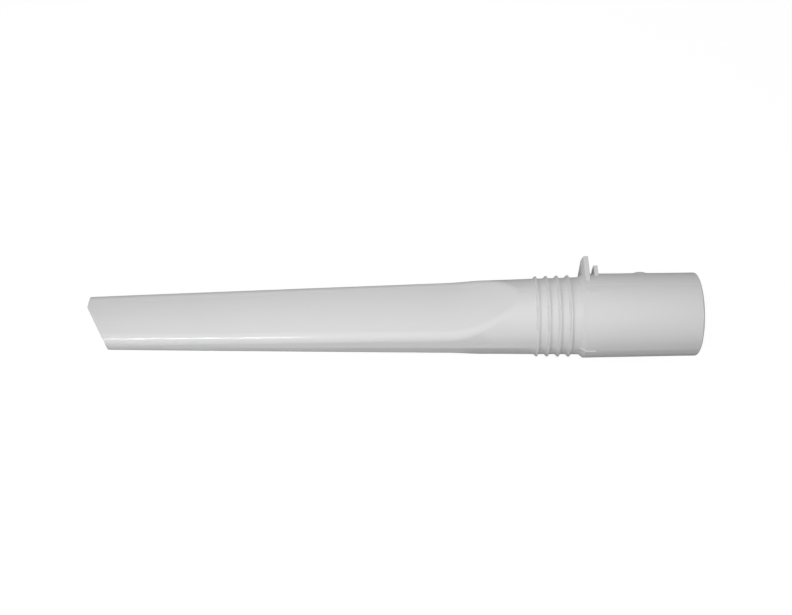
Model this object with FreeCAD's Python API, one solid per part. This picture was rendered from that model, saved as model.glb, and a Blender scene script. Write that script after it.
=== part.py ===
import FreeCAD, Part
import math
import os

from FreeCAD import Vector

# Vacuum crevice tool: one hollow plastic moulding, open from the wand socket to the slanted tip.
# The tube's axis is X. The socket's mouth is at the origin and faces +X, and the tip points to -X.
# Z is square to the two flats of the blade, and +Y is the narrow edge that ends in the long side
# of the tip. Positions along the tool are distances back from the socket's mouth.

# Driving dimensions, in millimetres and degrees
tool_length = 268.6

# Tapered round tube, from the foot of the shoulder to the tip
neck_radius = 17.0
tip_radius = 12.85
tube_wall = 2.0

# Collar round the wand socket, with a straight bore and a slightly drafted outside
socket_radius = 16.0
socket_depth = 46.0
collar_wall = 2.5
rim_wall = 2.25
rim_round = 0.8
collar_length = 49.4
shoulder_length = 1.9

# Crowned flats that squeeze the tube into a blade: a gentle wedge, then a ramp up to the round neck,
# with the knee between them at the neck's length from the shoulder's foot
tip_thickness = 11.6
knee_thickness = 18.4
crown_radius = 52.0
neck_length = 52.3
ramp_angle = 16.2
ramp_blend_radius = 40.0
blade_wall = 1.6
blade_edge_radius = 4.5
edge_land = 0.6

# Tip: square across the long side, then slanted back to the other narrow edge
square_lip_edge = 4.6
slant_angle = 30.0
tip_corner_radius = 1.8

# Ribs round the neck: thin and flat topped, sloped towards the tip and steep towards the socket,
# counted from the shoulder's foot
rib_count = 4
first_rib_gap = 4.5
rib_pitch = 4.67
rib_top_width = 0.5
rib_slope_run = 0.9
rib_height = 1.0

# Flange set back from the collar's edge: flat topped, fuller in the middle, bevelled at its ends
flange_setback = 1.6
flange_width = 34.4
flange_reach = 20.0
flange_end_thickness = 2.05
flange_middle_fullness = 1.6
flange_bevel_depth = 0.9
flange_bevel_run = 3.2
flange_round = 0.3

# Lugs behind the flange, one on each side of the collar, thinned at their ends
lug_setback = 5.8
lug_thickness = 2.4
lug_end_thickness = 1.8
lug_bevel_run = 2.5
lug_span = 29.8
lug_reach = 16.5
lug_round = 0.2

# Low pips on the collar, one on each side, turned from the flats' direction
pip_position = 24.0
pip_diameter = 5.6
pip_height = 0.55
pip_angle = 54.0

# Fine ridges that climb the shoulder on to the collar, on the upper flat's side and the short edge
ridge_length = 4.4
ridge_width = 0.8
ridge_height = 0.45

# Cutting bodies run this far past what they cut, and points this close count as touching
overrun = 5.0
touch = 0.01

# Values that follow from the sizes above
collar_radius = socket_radius + collar_wall
rim_radius = socket_radius + rim_wall
shoulder_foot = collar_length + shoulder_length
first_rib_position = shoulder_foot + first_rib_gap
knee_position = shoulder_foot + neck_length
flange_position = collar_length - flange_setback
lug_position = collar_length - lug_setback
tube_taper = (neck_radius - tip_radius) / (tool_length - shoulder_foot)
flat_taper = (knee_thickness - tip_thickness) / 2 / (tool_length - knee_position)
collar_draft = (collar_radius - rim_radius) / collar_length
crown_depth = crown_radius - knee_thickness / 2
axis_point = Vector(0, 0, 0)
axis_direction = Vector(1, 0, 0)


def tube_radius(position):
    """Outer radius of the round tube at a distance from the socket's mouth."""
    return neck_radius - tube_taper * (position - shoulder_foot)


def duct_radius(position):
    """Inner radius of the round tube at a distance from the socket's mouth."""
    return tube_radius(position) - tube_wall


def line(start, end):
    return Part.LineSegment(start, end).toShape()


def arc(start, middle, end):
    return Part.Arc(start, middle, end).toShape()


def profile_point(position, radius):
    """Point of a turned profile, on the -Y side so that the seam lies on a narrow edge."""
    return Vector(-position, -radius, 0)


def turned(edges):
    """Solid turned about the tool's axis from a closed run of edges."""
    return Part.Face(Part.Wire(edges)).revolve(axis_point, axis_direction, 360)


def outer_round():
    """Tapered tube with its ribs, the shoulder and the collar, as one turned solid."""
    far_end = tool_length + overrun
    corner = profile_point(far_end, tube_radius(far_end))
    edges = [line(profile_point(far_end, 0), corner)]
    for number in reversed(range(rib_count)):
        steep_side = first_rib_position + number * rib_pitch - rib_top_width / 2
        slope_top = steep_side + rib_top_width
        slope_foot = slope_top + rib_slope_run
        rib_radius = tube_radius(steep_side) + rib_height
        rib_corners = [
            profile_point(slope_foot, tube_radius(slope_foot)),
            profile_point(slope_top, rib_radius),
            profile_point(steep_side, rib_radius),
            profile_point(steep_side, tube_radius(steep_side)),
        ]
        for next_corner in rib_corners:
            edges.append(line(corner, next_corner))
            corner = next_corner
    foot = profile_point(shoulder_foot, neck_radius)
    shoulder_edge = profile_point(collar_length, collar_radius)
    round_start = profile_point(rim_round, rim_radius)
    round_end = profile_point(0, rim_radius - rim_round)
    inset = rim_round * (1 - math.sqrt(0.5))
    edges += [
        line(corner, foot),
        line(foot, shoulder_edge),
        line(shoulder_edge, round_start),
        arc(round_start, profile_point(inset, rim_radius - inset), round_end),
        line(round_end, profile_point(0, 0)),
        line(profile_point(0, 0), profile_point(far_end, 0)),
    ]
    return turned(edges)


def inner_round():
    """Round air duct from the socket's floor to past the tip."""
    far_end = tool_length + overrun
    corners = [
        profile_point(far_end, 0),
        profile_point(far_end, duct_radius(far_end)),
        profile_point(socket_depth, duct_radius(socket_depth)),
        profile_point(socket_depth, 0),
    ]
    return turned(Part.makePolygon(corners + corners[:1]).Edges)


def wand_socket():
    """Straight bore for the wand, open at the collar's rim."""
    corners = [
        profile_point(socket_depth, 0),
        profile_point(socket_depth, socket_radius),
        profile_point(-overrun, socket_radius),
        profile_point(-overrun, 0),
    ]
    return turned(Part.makePolygon(corners + corners[:1]).Edges)


def under_flat(wall):
    """Everything under one crowned flat, less a wall, turned about the crown's own axis."""
    clear = collar_radius + overrun
    wedge_angle = math.atan(flat_taper)
    slope = math.radians(ramp_angle)
    along_wedge = Vector(math.cos(wedge_angle), 0, math.sin(wedge_angle))
    along_ramp = Vector(math.cos(slope), 0, math.sin(slope))
    above_wedge = Vector(-math.sin(wedge_angle), 0, math.cos(wedge_angle))

    knee = Vector(-knee_position, 0, knee_thickness / 2 - wall)
    tangent_length = ramp_blend_radius * math.tan((slope - wedge_angle) / 2)
    blend_start = knee - along_wedge * tangent_length
    blend_end = knee + along_ramp * tangent_length
    blend_centre = blend_start + above_wedge * ramp_blend_radius
    blend_middle = blend_centre + (knee - blend_centre).normalize() * ramp_blend_radius
    tip = knee - along_wedge * ((tool_length + 2 * overrun - knee_position) / along_wedge.x)
    ramp_top = knee + along_ramp * ((clear - knee.z) / along_ramp.z)
    end = Vector(overrun, 0, clear)
    crown_end = Vector(end.x, 0, -crown_depth)
    crown_tip = Vector(tip.x, 0, -crown_depth)

    outline = Part.Wire([
        line(tip, blend_start),
        arc(blend_start, blend_middle, blend_end),
        line(blend_end, ramp_top),
        line(ramp_top, end),
        line(end, crown_end),
        line(crown_end, crown_tip),
        line(crown_tip, tip),
    ])
    body = Part.Face(outline).revolve(crown_tip, axis_direction, 360)
    body.rotate(crown_tip, axis_direction, 180)
    return body


def flats_slab(wall):
    """Slab between the two flats, less a wall, that opens up its ramps past the round neck."""
    upper = under_flat(wall)
    lower = upper.copy()
    lower.rotate(axis_point, axis_direction, 180)
    return upper.common(lower)


def edge_roll(radius_at, wall):
    """Radius of the rolled edges, at most what leaves a land between them at the thin end."""
    far_end = tool_length + overrun
    side = radius_at(far_end)
    half_thickness = tip_thickness / 2 - flat_taper * overrun - wall - edge_land / 2
    full_round = 2 * crown_depth * half_thickness + half_thickness ** 2 - side ** 2
    full_round /= 2 * (crown_depth + half_thickness - side)
    return min(blade_edge_radius - wall, full_round)


def flattened(round_body, radius_at, wall):
    """Round body cut to the slab, with the edges between flats and round sides rolled over."""
    slab = flats_slab(wall)
    body = round_body.common(slab)
    edges = []
    for edge in body.Edges:
        middle = edge.valueAt((edge.FirstParameter + edge.LastParameter) / 2)
        on_round = abs(math.hypot(middle.y, middle.z) - radius_at(-middle.x)) < touch
        on_flat = slab.Shells[0].distToShape(Part.Vertex(middle))[0] < touch
        if on_round and on_flat:
            edges.append(edge)
    return body.makeFillet(edge_roll(radius_at, wall), edges)


def tip_cutter():
    """Everything past the tip: square on the long side, slanted, and rounded at the short edge."""
    reach = collar_radius + overrun
    slant = math.radians(slant_angle)
    lip_corner = Vector(-tool_length, square_lip_edge, 0)
    along_slant = Vector(math.sin(slant), -math.cos(slant), 0)
    along_edge = Vector(1, -tube_taper, 0).normalize()

    edge_start = Vector(-tool_length, -tip_radius, 0)
    gap = edge_start - lip_corner
    run = gap.x * along_edge.y - gap.y * along_edge.x
    run /= (along_slant.x * along_edge.y - along_slant.y * along_edge.x)
    short_corner = lip_corner + along_slant * run
    half_angle = (along_slant * -1).getAngle(along_edge) / 2
    tangent_length = tip_corner_radius / math.tan(half_angle)
    inward = (along_edge - along_slant).normalize()
    round_centre = short_corner + inward * (tip_corner_radius / math.sin(half_angle))
    round_start = short_corner - along_slant * tangent_length
    round_middle = round_centre - inward * tip_corner_radius
    round_end = short_corner + along_edge * tangent_length

    outline = Part.Wire([
        line(Vector(-tool_length, reach, 0), lip_corner),
        line(lip_corner, round_start),
        arc(round_start, round_middle, round_end),
        line(round_end, Vector(round_end.x, -reach, 0)),
        line(Vector(round_end.x, -reach, 0), Vector(-tool_length - 2 * overrun, -reach, 0)),
        line(Vector(-tool_length - 2 * overrun, -reach, 0), Vector(-tool_length - 2 * overrun, reach, 0)),
        line(Vector(-tool_length - 2 * overrun, reach, 0), Vector(-tool_length, reach, 0)),
    ])
    outline.translate(Vector(0, 0, -reach))
    return Part.Face(outline).extrude(Vector(0, 0, 2 * reach))


def standing_plate(outline, reach, round_radius):
    """Plate raised from the tool's axis towards +Y, with its edges rounded above the axis."""
    plate = Part.Face(Part.makePolygon(outline + outline[:1])).extrude(Vector(0, reach, 0))
    exposed = [edge for edge in plate.Edges if edge.BoundBox.YMax > touch]
    return plate.makeFillet(round_radius, exposed)


def flange():
    half = flange_width / 2
    tip_face = -flange_position - flange_end_thickness / 2 - flange_bevel_depth
    bevel_face = tip_face + flange_bevel_depth
    collar_face = bevel_face + flange_end_thickness
    outline = [
        Vector(collar_face, 0, half),
        Vector(bevel_face, 0, half),
        Vector(tip_face, 0, half - flange_bevel_run),
        Vector(tip_face, 0, flange_bevel_run - half),
        Vector(bevel_face, 0, -half),
        Vector(collar_face, 0, -half),
        Vector(collar_face + flange_middle_fullness, 0, 0),
    ]
    return standing_plate(outline, flange_reach, flange_round)


def lugs():
    half = lug_span / 2
    shoulder = half - lug_bevel_run
    front = -lug_position - lug_thickness / 2
    back = front + lug_thickness
    end_front = -lug_position - lug_end_thickness / 2
    end_back = end_front + lug_end_thickness
    outline = [
        Vector(end_back, 0, half),
        Vector(end_front, 0, half),
        Vector(front, 0, shoulder),
        Vector(front, 0, -shoulder),
        Vector(end_front, 0, -half),
        Vector(end_back, 0, -half),
        Vector(back, 0, -shoulder),
        Vector(back, 0, shoulder),
    ]
    return standing_plate(outline, lug_reach, lug_round)


def pip(side):
    """Shallow dome on the collar, on the side of one flat."""
    dome_radius = (pip_diameter ** 2 / 4 + pip_height ** 2) / (2 * pip_height)
    depth = rim_radius + collar_draft * pip_position + pip_height - dome_radius
    angle = math.radians(pip_angle)
    centre = Vector(-pip_position, depth * math.sin(angle), side * depth * math.cos(angle))
    return Part.makeSphere(dome_radius, centre)


def ridge(turn):
    """Fine rib over the shoulder's edge, drawn on the upper side and turned about the axis."""
    root = collar_wall / 2
    outline = [
        Vector(-shoulder_foot - ridge_height, -ridge_width / 2, neck_radius - root),
        Vector(-shoulder_foot - ridge_height, -ridge_width / 2, neck_radius),
        Vector(-collar_length - ridge_height, -ridge_width / 2, collar_radius),
        Vector(-collar_length, -ridge_width / 2, collar_radius + ridge_height),
        Vector(-collar_length + ridge_length, -ridge_width / 2, collar_radius + ridge_height),
        Vector(-collar_length + ridge_length, -ridge_width / 2, neck_radius - root),
    ]
    rib = Part.Face(Part.makePolygon(outline + outline[:1])).extrude(Vector(0, ridge_width, 0))
    rib.rotate(axis_point, axis_direction, turn)
    return rib


def crevice_tool():
    body = flattened(outer_round(), tube_radius, 0)
    details = [flange(), lugs(), pip(1), pip(-1), ridge(0), ridge(90)]
    hollow = flattened(inner_round(), duct_radius, blade_wall).fuse(wand_socket())
    return body.fuse(details).cut([hollow, tip_cutter()]).removeSplitter()


os.makedirs("parts", exist_ok=True)
crevice_tool().exportStep("parts/crevice_tool.step")
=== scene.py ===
import math

import bpy
import bmesh
from mathutils import Euler, Matrix, Vector

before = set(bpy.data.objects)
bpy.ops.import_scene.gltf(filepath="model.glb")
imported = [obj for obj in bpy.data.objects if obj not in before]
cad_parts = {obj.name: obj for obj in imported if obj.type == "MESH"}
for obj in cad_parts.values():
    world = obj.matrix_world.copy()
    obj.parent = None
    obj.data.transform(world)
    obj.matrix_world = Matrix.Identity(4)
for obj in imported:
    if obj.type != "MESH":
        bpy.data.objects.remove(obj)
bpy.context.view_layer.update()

bpy.context.scene.view_settings.view_transform = "Standard"

# The crevice tool is one hollow moulding in light grey polypropylene: socket, ribbed neck and flat blade.
# It is shot into a polished mould, so it has a soft gloss, faint flow streaks along the blade and a fine
# witness line on each narrow edge, where the two halves of the mould met.
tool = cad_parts["crevice_tool"]


class Finish:
    """A socket of a node tree. Arithmetic on it adds Math nodes, and add() makes any other node."""

    def __init__(self, tree, socket=None):
        self.tree = tree
        self.socket = socket

    def add(self, kind, settings=None, sockets=None, output=0):
        node = self.tree.nodes.new(kind)
        for name, value in (settings or {}).items():
            setattr(node, name, value)
        for name, value in (sockets or {}).items():
            if isinstance(value, Finish):
                self.tree.links.new(value.socket, node.inputs[name])
            else:
                node.inputs[name].default_value = value
        return Finish(self.tree, node.outputs[output] if node.outputs else None)

    def calculate(self, operation, *values):
        return self.add("ShaderNodeMath", {"operation": operation}, dict(enumerate(values)))

    def __add__(self, other):
        return self.calculate("ADD", self, other)

    def __radd__(self, other):
        return self.calculate("ADD", other, self)

    def __sub__(self, other):
        return self.calculate("SUBTRACT", self, other)

    def __rsub__(self, other):
        return self.calculate("SUBTRACT", other, self)

    def __mul__(self, other):
        return self.calculate("MULTIPLY", self, other)

    def __rmul__(self, other):
        return self.calculate("MULTIPLY", other, self)

    def __lt__(self, other):
        return self.calculate("LESS_THAN", self, other)

    def __gt__(self, other):
        return self.calculate("GREATER_THAN", self, other)

    def __abs__(self):
        return self.calculate("ABSOLUTE", self)


def empty_finish(name):
    material = bpy.data.materials.new(name)
    material.use_nodes = True
    material.node_tree.nodes.clear()
    return material, Finish(material.node_tree)


MILLIMETRE = 0.001
CLOUDS_PER_METRE = 38.0
STREAKS_PER_METRE = (9.0, 210.0, 210.0)
GRAINS_PER_METRE = 1900.0
SPECK_CELLS_PER_METRE = 90.0
SPECK_REACH = 0.016
WITNESS_HALF_WIDTH = 0.16 * MILLIMETRE
grey_plastic, finish = empty_finish("grey_plastic")
place = finish.add("ShaderNodeTexCoord", output="Object")
across = finish.add("ShaderNodeSeparateXYZ", sockets={"Vector": place}, output="Z")
cloud = finish.add("ShaderNodeTexNoise", sockets={"Vector": place, "Scale": CLOUDS_PER_METRE, "Detail": 3.0})
stretched = finish.add("ShaderNodeMapping", sockets={"Vector": place, "Scale": STREAKS_PER_METRE})
streak = finish.add("ShaderNodeTexNoise", sockets={"Vector": stretched, "Scale": 1.0, "Detail": 4.0})
grain = finish.add("ShaderNodeTexNoise", sockets={"Vector": place, "Scale": GRAINS_PER_METRE, "Detail": 2.0})
cells = finish.add("ShaderNodeTexVoronoi", sockets={"Vector": place, "Scale": SPECK_CELLS_PER_METRE})
speck = cells < SPECK_REACH
witness = abs(across) < WITNESS_HALF_WIDTH

GREY = (0.60, 0.60, 0.604, 1.0)
PALE_GREY = (0.635, 0.635, 0.638, 1.0)
SPECK_GREY = (0.30, 0.30, 0.31, 1.0)
CLOUD_TONE, STREAK_TONE, SPECK_TONE = 0.65, 0.35, 0.5
tone = finish.add(
    "ShaderNodeMix",
    {"data_type": "RGBA"},
    {"Factor": CLOUD_TONE * cloud + STREAK_TONE * streak, "A": GREY, "B": PALE_GREY},
    output="Result",
)
colour = finish.add(
    "ShaderNodeMix",
    {"data_type": "RGBA"},
    {"Factor": SPECK_TONE * speck, "A": tone, "B": SPECK_GREY},
    output="Result",
)

GRAIN_RELIEF, STREAK_RELIEF, WITNESS_RELIEF = 0.25, 0.5, 0.6
RELIEF_STRENGTH = 0.16
RELIEF_DEPTH = 0.06 * MILLIMETRE
relief = GRAIN_RELIEF * grain + STREAK_RELIEF * streak + WITNESS_RELIEF * witness
bump = finish.add(
    "ShaderNodeBump",
    sockets={"Strength": RELIEF_STRENGTH, "Distance": RELIEF_DEPTH, "Height": relief},
)

PLASTIC_IOR = 1.45
GLOSS_ROUGHNESS = 0.18
CLOUD_ROUGHNESS, STREAK_ROUGHNESS = 0.06, 0.05
NOISE_MIDDLE = 0.5
edge_on = finish.add("ShaderNodeLayerWeight", sockets={"Blend": 0.5}, output="Facing")
uneven = CLOUD_ROUGHNESS * (cloud - NOISE_MIDDLE) + STREAK_ROUGHNESS * (streak - NOISE_MIDDLE)
plastic = finish.add(
    "ShaderNodeBsdfPrincipled",
    {"distribution": "GGX"},
    {
        "Base Color": colour,
        "Roughness": GLOSS_ROUGHNESS + uneven + edge_on * edge_on,
        "IOR": PLASTIC_IOR,
        "Normal": bump,
    },
)
finish.add("ShaderNodeOutputMaterial", sockets={"Surface": plastic})
for material_slot in tool.material_slots:
    material_slot.material = grey_plastic

# The table is a plain white card under the tool, which lies on its tip's lower edge and its outermost rib.
# The card is matt and flat, tilted a little to meet both, and it runs out of sight on every side.
TABLE_REACH = 6.0
corners = [Vector(vertex.co) for vertex in tool.data.vertices]
tip = min(corners, key=lambda corner: (round(corner.x, 4), corner.z))
slope = max((tip.z - corner.z) / (corner.x - tip.x) for corner in corners if corner.x > tip.x / 2)
sheet = bmesh.new()
bmesh.ops.create_grid(sheet, x_segments=1, y_segments=1, size=TABLE_REACH)
lie = Matrix.Translation(tip) @ Matrix.Rotation(math.atan(slope), 4, "Y")
bmesh.ops.transform(sheet, matrix=lie, verts=sheet.verts)
table_mesh = bpy.data.meshes.new("table")
sheet.to_mesh(table_mesh)
sheet.free()
table = bpy.data.objects.new("table", table_mesh)
bpy.context.collection.objects.link(table)


def seen_or_mirrored(nodes):
    """One for what the camera sees, straight, mirrored or through glass, and nought for other light."""
    camera_ray = nodes.add("ShaderNodeLightPath", output="Is Camera Ray")
    glossy_ray = nodes.add("ShaderNodeLightPath", output="Is Glossy Ray")
    through_ray = nodes.add("ShaderNodeLightPath", output="Is Transmission Ray")
    return nodes.calculate("MINIMUM", camera_ray + glossy_ray + through_ray, 1.0)


WHITE = (1.0, 1.0, 1.0, 1.0)
CARD_SHADE = (0.15, 0.15, 0.15, 1.0)
CARD_GLOW = 0.92
white_card, card = empty_finish("white_card")
matt = card.add("ShaderNodeBsdfDiffuse", sockets={"Color": CARD_SHADE})
glow = card.add("ShaderNodeEmission", sockets={"Color": WHITE, "Strength": CARD_GLOW})
lit = card.add("ShaderNodeAddShader", sockets={0: matt, 1: glow})
card_surface = card.add("ShaderNodeMixShader", sockets={0: seen_or_mirrored(card), 1: matt, 2: lit})
card.add("ShaderNodeOutputMaterial", sockets={"Surface": card_surface})
table.data.materials.append(white_card)

# The light is a small studio's: a square soft box over the front of the tool, a low one in front and a
# low one behind, in a white room that fills the rest evenly. A short strip on the left is the only lamp
# that mirrors in the plastic, and it draws the bright line along the blade's front edge.
ROOM_FILL = 0.27
ROOM_AS_SEEN = 0.96
room = bpy.data.worlds.new("room")
room.use_nodes = True
room.node_tree.nodes.clear()
air = Finish(room.node_tree)
dim_air = air.add("ShaderNodeBackground", sockets={"Color": WHITE, "Strength": ROOM_FILL})
white_air = air.add("ShaderNodeBackground", sockets={"Color": WHITE, "Strength": ROOM_AS_SEEN})
whole_air = air.add("ShaderNodeMixShader", sockets={0: seen_or_mirrored(air), 1: dim_air, 2: white_air})
air.add("ShaderNodeOutputWorld", sockets={"Surface": whole_air})
bpy.context.scene.world = room


def soft_box(name, stands, faces, width, height, watts, mirrors=False):
    lamp = bpy.data.lights.new(name, "AREA")
    lamp.shape = "RECTANGLE"
    lamp.size = width
    lamp.size_y = height
    lamp.energy = watts
    holder = bpy.data.objects.new(name, lamp)
    holder.location = stands
    holder.rotation_euler = (Vector(faces) - Vector(stands)).to_track_quat("-Z", "Y").to_euler()
    holder.visible_camera = False
    holder.visible_glossy = mirrors
    bpy.context.collection.objects.link(holder)


soft_box("front_box", (-0.12, -0.14, 0.265), (-0.15, 0.0, 0.0), width=0.3, height=0.3, watts=0.745)
soft_box(
    "edge_strip",
    (-0.305, -0.228, 0.212),
    (-0.255, 0.0, 0.0),
    width=0.16,
    height=0.02,
    watts=0.355,
    mirrors=True,
)
soft_box("low_box", (-0.10, -0.90, 0.12), (-0.10, 0.0, 0.0), width=0.7, height=0.1, watts=0.25)
soft_box("back_box", (-0.20, 0.90, 0.10), (-0.12, 0.0, 0.0), width=0.7, height=0.2, watts=1.1)

# The camera stands in front of the short edge and looks down on the upper flat, with the collar nearer.
# Its place was solved from the tool's outline, and its lens follows from the photograph's width in pixels.
PHOTO_WIDTH = 792
FOCAL_PIXELS = 1079.1
VIEW_AZIMUTH, VIEW_ELEVATION, VIEW_ROLL = 3.0, 55.8, -3.355
VIEW_TARGET = Vector((-0.131048, 0.0, 0.008631))
VIEW_DISTANCE = 0.47074
camera_data = bpy.data.cameras.new("camera")
camera_data.sensor_fit = "HORIZONTAL"
camera_data.sensor_width = 36.0
camera_data.lens = FOCAL_PIXELS * camera_data.sensor_width / PHOTO_WIDTH
camera_data.clip_start = 0.01
camera = bpy.data.objects.new("camera", camera_data)
aim = Euler((math.radians(90 - VIEW_ELEVATION), 0.0, math.radians(VIEW_AZIMUTH))).to_matrix()
camera.location = VIEW_TARGET + aim @ Vector((0.0, 0.0, VIEW_DISTANCE))
camera.rotation_euler = (aim @ Matrix.Rotation(math.radians(VIEW_ROLL), 3, "Z")).to_euler()
bpy.context.collection.objects.link(camera)
bpy.context.scene.camera = camera
